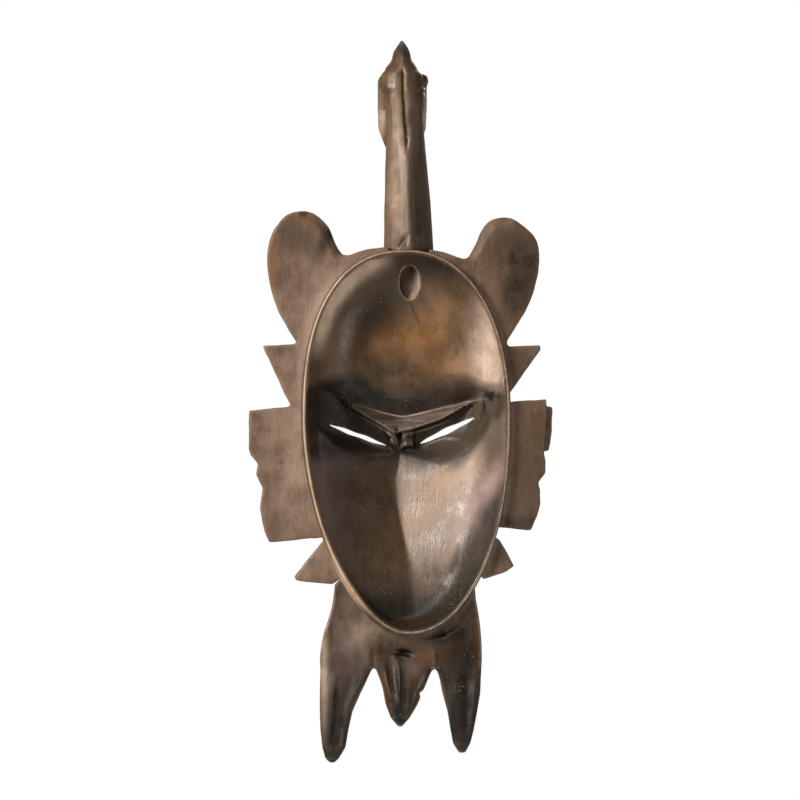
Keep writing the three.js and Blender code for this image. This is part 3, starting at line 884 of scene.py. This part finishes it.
def paintShell():
    points = readPoints(hollowShell)
    x, y, z = points.T
    rough = noiseNear(points, 61)
    wide = landAt(x, z)
    away = -outsideOval(x, z) - wide
    inside = ease(0, 1.5, away)
    onLand = 1 - ease(-0.2, 0.9, away)
    brow = hollowLine("browLine", x) + 2 * rough
    upper = hollowLine("upperArris", x)
    lower = hollowLine("lowerArris", x)
    below = hollowLine("lowerLine", x) + 2 * rough
    slope = ease(3, -9, z - brow) * ease(-1, 1, z - upper)
    facet = ease(1, -0.4, z - upper) * ease(-0.6, 0.6, z - lower)
    pocket = ease(0.6, -0.6, z - lower) * ease(-5, 3, z - below)
    leftness = ease(14, -22, x)
    valleyX = alongLine(z, hollow["valleyLine"])
    leftCheek = ease(-97, -105, z) * ease(1.5, -1.5, x - valleyX)
    wallFoot = [(-100, 50), (-118, 44), (-135, 36), (-150, 26), (-165, 15), (-180, 6), (-190, 0)]
    wallLine = alongLine(z, wallFoot)
    rightWall = ease(-5, 5, x - wallLine + 3 * rough) * ease(-106, -130, z)
    outerLand = ease(-0.45, -0.9, away / wide) * (1 - inside)
    tanArc = patch(points, -30, -166, 16, 26, -35) * onLand
    # the gouged recess: painted shade above and to the left, a painted pool of light where the light falls
    # into it
    inX, inZ = (x - recess["x"]) / recess["wide"], (z - recess["z"]) / recess["tall"]
    inRecess = ease(1.05, 0.95, np.hypot(inX, inZ))
    lit = ease(-0.35, 0.75, 0.75 * inX - 0.65 * inZ)

    band = ease(-62, -72, z) * ease(-108, -98, z)
    ridges = chiselled(points)
    streaky = lumps(points, (7, 9, 0.9), 64)
    # painted shade: the slope under the brow, which faces down, and the pocket below the arrises are
    # darkened; these and the streaky darker facet between the arrises get more painted shade on the left,
    # the side away from the light
    sootAndShade = slope * (0.78 + 0.2 * leftness) + facet * (0.42 + 0.3 * leftness - 0.2 * streaky)
    sootAndShade += pocket * (0.7 + 0.3 * leftness)
    # painted shade at the left end of the eye band, and a darker spot at its right end
    sootAndShade += 0.9 * band * ease(-24, -37, x) + 0.45 * band * ease(36, 42, x) * ease(50, 46, x)
    # painted shade on the left cheek, which faces away from the light; the dark patina of the lower right
    # wall
    sootAndShade += leftCheek * (0.46 - 0.22 * patch(points, -12, -158, 14, 18)) + 0.85 * rightWall
    # painted shade at the top of the bowl, where its wall faces down
    sootAndShade += 0.4 * patch(points, 6, -5, 17, 6) + 0.7 * patch(points, 18, -8, 22, 10, -25)
    # a dark streak inside the upper left sheen, and painted shade along the lower edge of the right pocket
    sootAndShade += 0.75 * patch(points, -18, -31, 9, 24, -44) + 0.3 * patch(points, 8, -104, 14, 8)
    # darker towards the bottom, and a darker patch above the middle of the brow
    sootAndShade += 0.65 * ease(-160, -181, z) + 0.3 * patch(points, -2, -58, 22, 8)
    # the dark fine crack under the recess
    crack, _ = awayFromPath(points, curved([(2.4, -24), (3.6, -29), (6.5, -35)]))
    sootAndShade += 0.6 * np.exp(-(crack / 0.5) ** 2)
    # the chisel ridges are kept light as painted highlights; in the recess, painted shade on the side away
    # from the light
    sootAndShade = (sootAndShade * (1 - 0.6 * ridges)) * (1 - inRecess) + inRecess * 0.9 * (1 - lit)
    bottomLand = onLand * ease(-172, -186, z)
    brownRim = onLand * ease(-0.25, 0.35, polar(x, z)[0])
    # painted shadow along the land's outer slope, where it curves down to the flanges; the rim's own brown
    # towards the right and at the bottom, none on the tan arc
    rimShadeAndSoot = (0.45 * outerLand + 0.4 * brownRim) * (1 - tanArc) + 0.5 * bottomLand
    paint(hollowShell, "sootAndShade", inside * sootAndShade + rimShadeAndSoot + 0.1 * rough)

    olive = 0.5 * patch(points, -8, -44, 26, 10, 8)
    amber = olive + 0.55 * patch(points, 14, -38, 9, 20, -18) + 0.6 * patch(points, 27, -56, 15, 6, 12)
    amber += 0.75 * patch(points, 17, -116, 7, 24, -34)
    amber *= (1 - slope) * (1 - facet) * (1 - pocket) * (1 + 0.5 * rough) * inside
    paint(hollowShell, "amber", amber + 0.2 * onLand + 0.6 * tanArc)

    # masks for painted light: the right cheek, which faces the light, and a sheen along the upper left wall
    # near the rim
    cheek = ease(-0.5, 4, x - valleyX) * ease(-101, -118, z) * (1 - rightWall) * ease(-174, -140, z)
    upperLeft = ease(-0.03, -0.24, polar(x, z)[0]) * ease(-56, -34, z)
    sheen = upperLeft * np.exp(-((away - 3.5) / 4.2) ** 2)
    # painted light on the right cheek, a painted highlight band on the right wall, the painted sheen on the
    # upper left wall and painted highlights on the chisel ridges
    pale = 0.18 * cheek + 1.15 * patch(points, 41, -56, 6.5, 26, 4) + 1.15 * sheen + 0.5 * ridges
    pale += 0.3 * patch(points, 30, -108, 10, 16, -30)
    pale += 0.8 * np.exp(-((x + 6.4 + 0.35 * (z + 93)) / 2.7) ** 4 - ((z + 93.5) / 5) ** 4)
    pale += 0.6 * np.exp(-((x - 0.9) / 3) ** 4 - ((z + 92.8) / 5) ** 4)
    pale += 0.2 * facet * (0.4 + streaky)
    # painted light on the recess's lit side
    pale += 1.1 * inRecess * lit
    # a painted highlight along the rim's inner edge, strongest on the left
    leftRim = mix(0.12, 0.7, ease(0, -0.5, polar(x, z)[0]))
    innerEdge = leftRim * (1 + 0.5 * rough) * np.exp(-((away + land["crest"] * wide) / 0.6) ** 2)
    pale = inside * pale * (1 + 0.3 * rough) + innerEdge * (1 - 0.6 * bottomLand) + 0.35 * tanArc
    paint(hollowShell, "pale", pale)

    # violet is mostly painted sheen: the lavender bands on the right wall, the lit right cheek, the upper
    # left sheen and the recess's lit side; the rest are violet tints
    violet = 0.6 * patch(points, 41, -122, 6, 22, -14) + 0.35 * patch(points, -44, -118, 5, 30, 10)
    violet += 0.5 * patch(points, 41, -45, 8, 26) + 0.3 * facet * ease(-6, 4, x)
    violet += 0.4 * leftCheek * ease(-24, -40, x)
    violet += 0.35 * cheek + 0.5 * sheen + 0.6 * inRecess * lit
    paint(hollowShell, "violet", violet * inside)


def paintPlain(piece, seed, spots):
    points = readPoints(piece)
    rough = noiseNear(points, seed)
    for name in ("sootAndShade", "amber", "pale", "violet"):
        total = 0.1 * rough
        for strength, *place in spots.get(name, ()):
            total = total + strength * patch(points, *place) * (1 + 0.5 * rough)
        paint(piece, name, total)


# Stains, painted highlights and painted shade of the other pieces. Each spot: strength, x, z, half width,
# half height, lean.
faceSpots = {
    "sootAndShade": [(0.5, 0, -90, 60, 30), (0.4, 0, -150, 30, 20)],
    "amber": [(0.4, 0, -20, 40, 20)],
    "pale": [(0.3, 0, -120, 12, 20)],
}
leftFlangeSpots = {
    "sootAndShade": [
        (0.5, -52, 8, 16, 12), (0.8, -39, 8, 3, 13, -28),
        (0.3, -58, -76, 22, 2), (0.4, -64, -136, 5, 8),
    ],
    "amber": [(0.7, -68.5, -4, 3, 24), (0.35, -54, 17, 14, 3)],
    "pale": [(0.3, -58, -112, 9, 40), (0.25, -46, -18, 10, 26), (0.3, -45, -156, 8, 8)],
    "violet": [
        (0.5, -64, -128, 10, 18), (0.45, -60, -60, 14, 14),
        (0.35, -50, -24, 16, 20), (0.3, -66, -92, 12, 14),
    ],
}
rightFlangeSpots = {
    "sootAndShade": [
        (0.85, 57, -20, 8, 16, -20), (0.75, 54, 0, 16, 20), (0.55, 60, -105, 16, 40),
        (0.5, 54, -60, 14, 14), (0.8, 57, -137, 13, 5), (0.5, 48, -152, 8, 8),
    ],
    "amber": [(0.6, 58, -33, 4, 6, -30), (0.3, 50, -8, 8, 12), (0.3, 68, -86, 4, 14)],
    "pale": [(0.25, 52, -102, 4, 24)],
    "violet": [(0.45, 50, -150, 8, 10), (0.35, 54, -110, 12, 30), (0.4, 48, -12, 6, 12)],
}
legSpots = {
    "sootAndShade": [
        (1.3, -36, -251, 9, 16), (1.3, 28, -245, 10, 20), (1.1, -3, -233, 6, 10),
        (0.95, -34.5, -238, 3.5, 20, 6), (0.75, 30, -228, 9, 30), (0.9, 27.5, -247, 6, 8),
        (0.95, -2.4, -222, 3.4, 18), (0.95, -1.5, -201, 5, 3), (0.9, -8.5, -211, 2, 8, 10),
        (0.5, 22, -192, 12, 3.5, 18), (0.6, 26, -206, 14, 18), (0.4, -30, -218, 9, 14),
    ],
    "amber": [(0.35, 13, -204, 5, 8, -30), (0.4, 36.5, -200, 2.4, 26), (0.3, -12, -216, 3, 12, 14)],
    "pale": [
        # painted highlights: the left leg's left edge and the right leg's inner edge, which face the light
        (0.75, -41, -214, 1.8, 34), (0.35, -20, -190, 12, 7),
        (0.4, 18.5, -222, 1.5, 20, 14), (0.45, -24, -232, 2, 16, -18),
    ],
    "violet": [(0.75, -30, -200, 10, 22), (0.4, 2, -208, 5, 6)],
}
crestSpots = {
    "sootAndShade": [
        # painted shade on the right half of the neck and head, the side away from the light, and a painted
        # dark line down the groove
        (0.5, 6, 30, 4, 34), (0.5, 7, 84, 4, 12), (0.6, -2, 101, 6, 7), (0.7, -1, 70, 0.5, 17, 2.8),
        (0.55, 7, 8, 4, 20), (0.35, 6, 60, 4, 26), (0.6, -3, 3, 4, 6), (0.5, -9, 86, 3, 7),
    ],
    "amber": [(0.35, -9.8, 40, 1.8, 40), (0.6, -2, 94, 2, 4), (0.5, -9.5, 88, 2.4, 4), (0.4, -3, 82, 3, 8)],
    "pale": [
        # painted light on the left half of the neck beside the groove, and a small painted highlight on the
        # head's left
        (0.75, -2.6, 62, 1.6, 14, 3), (0.15, -5, 86, 3, 6), (0.4, -4.5, 24, 4, 30),
        (0.6, 1.2, 5, 1.4, 5, 12), (0.4, -2, 92, 1.5, 2),
    ],
    "violet": [(0.55, 5, 64, 4, 18), (0.35, -5, 28, 5, 30)],
}
leftEyeSpots = {"sootAndShade": [(0.6, -12, 86, 8, 8)]}
rightEyeSpots = {"sootAndShade": [(0.8, 9, 86, 8, 8)]}
beakSpots = {
    "sootAndShade": [(0.35, -2, 70, 8, 30)],
    "pale": [(0.7, -13.5, 70, 2.5, 16), (0.7, 10, 70, 2.5, 16)],
}

paintShell()
paintPlain(faceFront, 71, faceSpots)
paintPlain(leftFlange, 72, leftFlangeSpots)
paintPlain(rightFlange, 73, rightFlangeSpots)
paintPlain(legs, 74, legSpots)
paintPlain(crest, 75, crestSpots)
paintPlain(leftEye, 76, leftEyeSpots)
paintPlain(rightEye, 77, rightEyeSpots)
paintPlain(longBeak, 78, beakSpots)
for piece in (hollowShell, faceFront, leftFlange, rightFlange, legs, crest, leftEye, rightEye, longBeak):
    paintEdges(piece)
print("patches painted")


# Node helpers.
def addNode(tree, kind, inputs=None, **settings):
    made = tree.nodes.new(kind)
    for key, value in settings.items():
        setattr(made, key, value)
    for key, value in (inputs or {}).items():
        if isinstance(value, bpy.types.NodeSocket):
            tree.links.new(value, made.inputs[key])
        else:
            made.inputs[key].default_value = value
    return made


def sums(tree, operation, a, b=0.0, clamp=False):
    return addNode(tree, "ShaderNodeMath", {0: a, 1: b}, operation=operation, use_clamp=clamp).outputs[0]


def times(tree, a, b, clamp=False):
    return sums(tree, "MULTIPLY", a, b, clamp)


def vectorSum(tree, operation, inputs):
    return addNode(tree, "ShaderNodeVectorMath", inputs, operation=operation).outputs[0]


def spread(tree, value, low, high, toLow=0.0, toHigh=1.0):
    inputs = {"Value": value, "From Min": low, "From Max": high, "To Min": toLow, "To Max": toHigh}
    return addNode(tree, "ShaderNodeMapRange", inputs, interpolation_type="SMOOTHSTEP").outputs["Result"]


def mixColours(tree, share, a, b):
    return addNode(tree, "ShaderNodeMix", {0: share, 6: a, 7: b}, data_type="RGBA").outputs[2]


def noise(tree, place, scale, detail, roughness=0.5):
    inputs = {"Vector": place, "Scale": scale, "Detail": detail, "Roughness": roughness}
    return addNode(tree, "ShaderNodeTexNoise", inputs).outputs["Fac"]


def painted(tree, name):
    return addNode(tree, "ShaderNodeAttribute", attribute_name=name).outputs["Fac"]


def tint(red, green, blue):
    # a colour from 0 to 255 as a painter names it, made linear
    parts = [c / 255 for c in (red, green, blue)]
    return tuple(c / 12.92 if c < 0.04045 else ((c + 0.055) / 1.055) ** 2.4 for c in parts) + (1,)


def newGroup(name, given, results):
    tree = bpy.data.node_groups.new(name, "ShaderNodeTree")
    for label, value in given.items():
        socket = tree.interface.new_socket(name=label, in_out="INPUT", socket_type="NodeSocketFloat")
        socket.default_value = value
    for label in results:
        tree.interface.new_socket(name=label, in_out="OUTPUT", socket_type="NodeSocketFloat")
    return tree, tree.nodes.new("NodeGroupInput").outputs, tree.nodes.new("NodeGroupOutput").inputs


def makeGrainGroup():
    given = {"Fineness": 1.0, "Lean": 0.0}
    results = ("Streaks", "Fibres", "Pores", "Blotches", "Height")
    tree, given, out = newGroup("wood grain", given, results)
    place = addNode(tree, "ShaderNodeTexCoord").outputs["Object"]
    turn = {"Vector": place, "Angle": given["Lean"]}
    turned = addNode(tree, "ShaderNodeVectorRotate", turn, rotation_type="Y_AXIS").outputs[0]
    sized = vectorSum(tree, "SCALE", {0: turned, 3: given["Fineness"]})
    # the grain wanders by a fraction of a millimetre to either side
    bent = addNode(tree, "ShaderNodeTexNoise", {"Vector": sized, "Scale": 45.0, "Detail": 2.0})
    shift = vectorSum(tree, "SUBTRACT", {0: bent.outputs["Color"], 1: (0.5, 0.5, 0.5)})
    shift = vectorSum(tree, "SCALE", {0: shift, 3: 0.004})
    warped = vectorSum(tree, "ADD", {0: sized, 1: shift})

    def stretched(across, along, detail, roughness=0.6):
        inputs = {"Vector": warped, "Scale": (across, across, along)}
        scaled = addNode(tree, "ShaderNodeMapping", inputs).outputs[0]
        return noise(tree, scaled, 1.0, detail, roughness)

    streaks = spread(tree, stretched(260, 22, 3.0), 0.36, 0.64)
    fibres = spread(tree, stretched(1500, 300, 2.0), 0.32, 0.68)
    pores = spread(tree, stretched(2600, 240, 1.0, 0.4), 0.66, 0.74)
    blotches = spread(tree, noise(tree, sized, 70.0, 4.0, 0.62), 0.36, 0.64)
    height = sums(tree, "ADD", times(tree, fibres, 0.5), times(tree, streaks, 0.6))
    height = sums(tree, "SUBTRACT", height, times(tree, pores, 0.8))
    for label, value in zip(results, (streaks, fibres, pores, blotches, height)):
        tree.links.new(value, out[label])
    return tree


def makeWearGroup():
    # Chips sets the strength of the painted glints
    given = {"Edges": 0.7, "Dirt": 0.7, "Chips": 0.35}
    results = ("Worn", "Grime", "Flecks")
    tree, given, out = newGroup("hand wear", given, results)
    place = addNode(tree, "ShaderNodeTexCoord").outputs["Object"]
    breakUp = noise(tree, place, 260.0, 4.0, 0.65)
    worn = times(tree, painted(tree, "rubbed"), spread(tree, breakUp, 0.3, 0.6, 0.25, 1.0))
    worn = times(tree, worn, given["Edges"], True)
    grime = times(tree, painted(tree, "sunken"), spread(tree, breakUp, 0.7, 0.4, 0.35, 1.0))
    grime = times(tree, grime, given["Dirt"], True)
    # painted glints: pale flecks, in clusters
    dots, clusters = noise(tree, place, 2000.0, 0.0), noise(tree, place, 80.0, 2.0)
    flecks = times(tree, spread(tree, dots, 0.72, 0.8), spread(tree, clusters, 0.5, 0.66))
    flecks = times(tree, flecks, given["Chips"], True)
    for label, value in zip(results, (worn, grime, flecks)):
        tree.links.new(value, out[label])
    return tree


grainGroup = makeGrainGroup()
wearGroup = makeWearGroup()

# Tints are from 0 to 255. The worn tint is also the colour of painted highlights, and the soot tint also
# that of painted shade. Roughness starts from shine, and sootDull is added where soot and painted shade lie.
finishes = {
    "hollow": {
        "deep": (58, 44, 32), "middle": (104, 82, 62), "worn": (196, 174, 156),
        "sootAndShadeTint": (20, 15, 9), "amberTint": (142, 100, 56), "violetTint": (134, 112, 112),
        "shine": 0.37, "sootDull": 0.1, "gloss": 0.48, "bump": 0.14,
        "fineness": 1.1, "edges": 0.4, "dirt": 0.2, "chips": 0.6,
    },
    "face": {
        "deep": (40, 29, 21), "middle": (82, 60, 43), "worn": (152, 114, 78),
        "sootAndShadeTint": (20, 15, 11), "amberTint": (120, 76, 40), "violetTint": (96, 78, 78),
        "shine": 0.36, "sootDull": 0.1, "gloss": 0.5, "bump": 0.3,
        "fineness": 1.0, "edges": 0.7, "dirt": 0.7, "chips": 0.3,
    },
    "flange": {
        "deep": (72, 54, 41), "middle": (124, 100, 82), "worn": (170, 146, 126),
        "sootAndShadeTint": (36, 25, 15), "amberTint": (122, 82, 42), "violetTint": (126, 103, 94),
        "shine": 0.5, "sootDull": 0.15, "gloss": 0.35, "bump": 0.25,
        "fineness": 1.1, "edges": 0.15, "dirt": 0.7, "chips": 0.35,
    },
    "crest": {
        "deep": (56, 41, 28), "middle": (102, 80, 60), "worn": (184, 160, 138),
        "sootAndShadeTint": (22, 15, 9), "amberTint": (122, 80, 38), "violetTint": (106, 88, 84),
        "shine": 0.38, "sootDull": 0.16, "gloss": 0.42, "bump": 0.14,
        "fineness": 1.1, "edges": 0.2, "dirt": 0.6, "chips": 0.25,
    },
    "leg": {
        "deep": (42, 30, 21), "middle": (82, 63, 48), "worn": (184, 162, 140),
        "sootAndShadeTint": (11, 7, 4), "amberTint": (130, 80, 46), "violetTint": (106, 90, 88),
        "shine": 0.34, "sootDull": 0.08, "gloss": 0.36, "bump": 0.16,
        "fineness": 1.1, "edges": 0.3, "dirt": 0.7, "chips": 0.5,
    },
}
warmSheen = (1, 0.94, 0.88, 1)


def makeWood(name, look):
    material = bpy.data.materials.new(name)
    material.use_nodes = True
    tree = material.node_tree
    tree.nodes.clear()
    grain = addNode(tree, "ShaderNodeGroup", node_tree=grainGroup)
    grain.inputs["Fineness"].default_value = look["fineness"]
    wear = addNode(tree, "ShaderNodeGroup", node_tree=wearGroup)
    for label in ("Edges", "Dirt", "Chips"):
        wear.inputs[label].default_value = look[label.lower()]
    grain, wear = grain.outputs, wear.outputs
    deep, middle, worn, sootAndShadeTint = [tint(*look[key]) for key in ("deep", "middle", "worn", "sootAndShadeTint")]
    sootAndShade = painted(tree, "sootAndShade")
    # the bare stained wood
    tone = sums(tree, "ADD", times(tree, grain["Streaks"], 0.24), times(tree, grain["Blotches"], 0.46))
    tone = sums(tree, "ADD", tone, times(tree, grain["Fibres"], 0.3), True)
    colour = mixColours(tree, tone, deep, middle)
    # the painted patches, broken up by the blotches: stains, with painted highlights, sheen and shade among
    # them
    ragged = spread(tree, grain["Blotches"], 0.0, 1.0, 0.75, 1.15)
    for mask, over in (
        (painted(tree, "violet"), tint(*look["violetTint"])),
        (painted(tree, "amber"), tint(*look["amberTint"])),
        # pale: lighter wood and painted highlights, mixed towards the worn tint
        (painted(tree, "pale"), worn),
        # soot and painted shade
        (sootAndShade, sootAndShadeTint),
    ):
        colour = mixColours(tree, times(tree, mask, ragged, True), colour, over)
    # dirt in the hollows, rubbed edges, open pores and flecks
    colour = mixColours(tree, wear["Grime"], colour, sootAndShadeTint)
    colour = mixColours(tree, wear["Worn"], colour, worn)
    colour = mixColours(tree, times(tree, grain["Pores"], 0.5), colour, deep)
    # painted glints, mostly where soot and painted shade lie
    fleckShare = times(tree, wear["Flecks"], spread(tree, sootAndShade, 0.1, 0.6, 0.15, 1.0))
    colour = mixColours(tree, fleckShare, colour, worn)
    rough = spread(tree, grain["Blotches"], 0.0, 1.0, look["shine"] - 0.08, look["shine"] + 0.12)
    rough = sums(tree, "ADD", rough, times(tree, sootAndShade, look["sootDull"]))
    rough = sums(tree, "ADD", rough, times(tree, grain["Pores"], 0.2), True)
    relief = {"Strength": look["bump"], "Distance": 0.0004, "Height": grain["Height"]}
    bump = addNode(tree, "ShaderNodeBump", relief).outputs[0]
    looks = {"Base Color": colour, "Roughness": rough, "Normal": bump}
    shader = addNode(tree, "ShaderNodeBsdfPrincipled", looks)
    shader.inputs["Specular IOR Level"].default_value = look["gloss"]
    shader.inputs["Specular Tint"].default_value = warmSheen
    end = addNode(tree, "ShaderNodeOutputMaterial")
    tree.links.new(shader.outputs[0], end.inputs["Surface"])
    return material


woods = {key: makeWood(key + " wood", look) for key, look in finishes.items()}

faceNodes = ["face_border", "nose", "upper_lip", "lower_lip", "forehead_lozenge"]
for side in ("left", "right"):
    faceNodes += [f"{side}_brow", f"{side}_upper_eyelid", f"{side}_lower_eyelid"]
    faceNodes += [f"{side}_cheek_bar_{k}" for k in (1, 2, 3)]

table = [
    (hollowShell, ["face_shell", "back_rim"], "hollow_wood", "hollow"),
    (faceFront, faceNodes, "face_wood", "face"),
    (leftFlange, leftNodes, "flange_wood", "flange"),
    (rightFlange, rightNodes, "flange_wood", "flange"),
    (legs, legShapes["nodes"], "leg_wood", "leg"),
    (crest, crestShapes["nodes"], "crest_wood", "crest"),
    (leftEye, ["left_eye_boss"], "crest_wood", "crest"),
    (rightEye, ["right_eye_boss"], "crest_wood", "crest"),
    (longBeak, ["beak"], "crest_wood", "crest"),
]
for piece, nodes, slot, wood in table:
    piece.data.materials.clear()
    piece.data.materials.append(woods[wood])
    pickOnly(piece)
    bpy.ops.object.shade_smooth_by_angle(angle=radians(50))
    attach(piece, "root")
    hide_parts(*nodes)
print("pieces dressed")


# The studio: a pale floor, a white surround, and a camera straight in front of the hollow back.
studio = {
    "floorDrop": -0.754,
    "floorRadius": 3.9,
    "floorGlow": 0.9,
    "worldGlow": 0.18,
    "lampAim": (0, 0.01, -0.08),
    "lampColour": (1, 0.95, 0.88),
    # each lamp: place, width and height, watts
    "lamps": {
        "window": ((-1.05, -0.78, 0.42), (0.4, 0.5), 26),
        "far window": ((0.85, -0.34, -0.3), (0.4, 0.5), 3),
        "ceiling": ((-0.1, -0.6, 1.1), (0.5, 0.4), 4),
        "front glow": ((0.2, 1.7, 0.7), (1.2, 1.2), 12),
    },
    "cameraPlace": (-0.003, -5, -0.074),
    "lensLength": 450,
}


def addFloor():
    place = (0, 0, studio["floorDrop"])
    bpy.ops.mesh.primitive_circle_add(
        vertices=96, radius=studio["floorRadius"], fill_type="NGON", location=place
    )
    bpy.ops.object.transform_apply(location=True, rotation=False, scale=False)
    floor = bpy.context.active_object
    floor.name = "floor"
    pale = bpy.data.materials.new("pale floor")
    pale.use_nodes = True
    tree = pale.node_tree
    tree.nodes.clear()
    dull = addNode(tree, "ShaderNodeBsdfDiffuse", {"Color": (0.8, 0.79, 0.77, 1)})
    bright = {"Color": (1, 0.995, 0.985, 1), "Strength": studio["floorGlow"]}
    glow = addNode(tree, "ShaderNodeEmission", bright)
    share = times(tree, addNode(tree, "ShaderNodeLightPath").outputs["Is Camera Ray"], 0.75)
    both = addNode(tree, "ShaderNodeMixShader", {0: share, 1: dull.outputs[0], 2: glow.outputs[0]})
    end = addNode(tree, "ShaderNodeOutputMaterial")
    tree.links.new(both.outputs[0], end.inputs["Surface"])
    floor.data.materials.append(pale)


def addWorld():
    world = bpy.data.worlds.new("white room")
    world.use_nodes = True
    tree = world.node_tree
    tree.nodes.clear()
    seen = addNode(tree, "ShaderNodeLightPath").outputs["Is Camera Ray"]
    faint = {"Color": (1, 0.98, 0.95, 1), "Strength": studio["worldGlow"]}
    glow = addNode(tree, "ShaderNodeBackground", faint)
    white = addNode(tree, "ShaderNodeBackground", {"Color": (1, 1, 1, 1), "Strength": 1.0})
    both = addNode(tree, "ShaderNodeMixShader", {0: seen, 1: glow.outputs[0], 2: white.outputs[0]})
    end = addNode(tree, "ShaderNodeOutputWorld")
    tree.links.new(both.outputs[0], end.inputs["Surface"])
    bpy.context.scene.world = world


def addLamps():
    for name, (place, size, power) in studio["lamps"].items():
        lamp = bpy.data.lights.new(name, "AREA")
        lamp.shape, lamp.size, lamp.size_y = "RECTANGLE", size[0], size[1]
        lamp.energy, lamp.color = power, studio["lampColour"]
        holder = bpy.data.objects.new(name, lamp)
        bpy.context.collection.objects.link(holder)
        holder.location = place
        towards = Vector(studio["lampAim"]) - Vector(place)
        holder.rotation_euler = towards.to_track_quat("-Z", "Y").to_euler()


def addCamera():
    lens = bpy.data.cameras.new("camera")
    lens.lens, lens.sensor_width, lens.clip_end = studio["lensLength"], 36, 50
    camera = bpy.data.objects.new("camera", lens)
    bpy.context.collection.objects.link(camera)
    camera.location = studio["cameraPlace"]
    camera.rotation_euler = (radians(90), 0, 0)
    bpy.context.scene.camera = camera


addFloor()
addWorld()
addLamps()
addCamera()
bpy.context.scene.view_settings.view_transform = "Standard"
print("studio lit")
